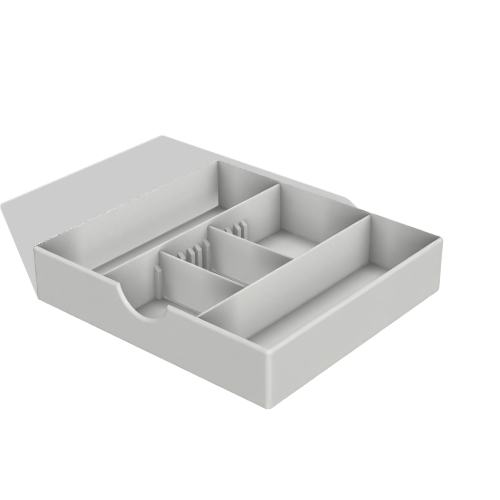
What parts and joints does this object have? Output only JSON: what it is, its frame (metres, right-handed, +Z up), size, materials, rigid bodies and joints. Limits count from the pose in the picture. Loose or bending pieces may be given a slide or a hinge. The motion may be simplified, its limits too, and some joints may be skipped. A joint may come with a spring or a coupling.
{
  "type": "compartment tray",
  "caption": "Open rectangular desk tray with a thumb notch, full-depth dividers lined with guide ribs, and loose cross dividers that lift out.",
  "frame": {"origin": "centre of the tray's underside", "axes": "+X to the right seen from the side with the thumb notch, +Y to the back wall, +Z up out of the tray"},
  "size_m": [0.25, 0.23, 0.05],
  "materials": {
    "shell_plastic": "fine matt moulded texture",
    "divider_plastic": "fine matt moulded texture",
    "cross_divider_plastic": "fine matt moulded texture"
  },
  "bodies": {
    "tray": {"tray_shell": "shell_plastic", "left_long_divider": "divider_plastic", "right_long_divider": "divider_plastic"},
    "front_divider": {"front_cross_divider": "cross_divider_plastic"},
    "rear_divider": {"rear_cross_divider": "cross_divider_plastic"}
  },
  "joints": [
    {"name": "front_divider_lift", "type": "slide", "parent": "tray", "child": "front_divider", "axis": [0, 0, 1], "range_m": [0, 0.06]},
    {"name": "rear_divider_lift", "type": "slide", "parent": "tray", "child": "rear_divider", "axis": [0, 0, 1], "range_m": [0, 0.06]}
  ]
}
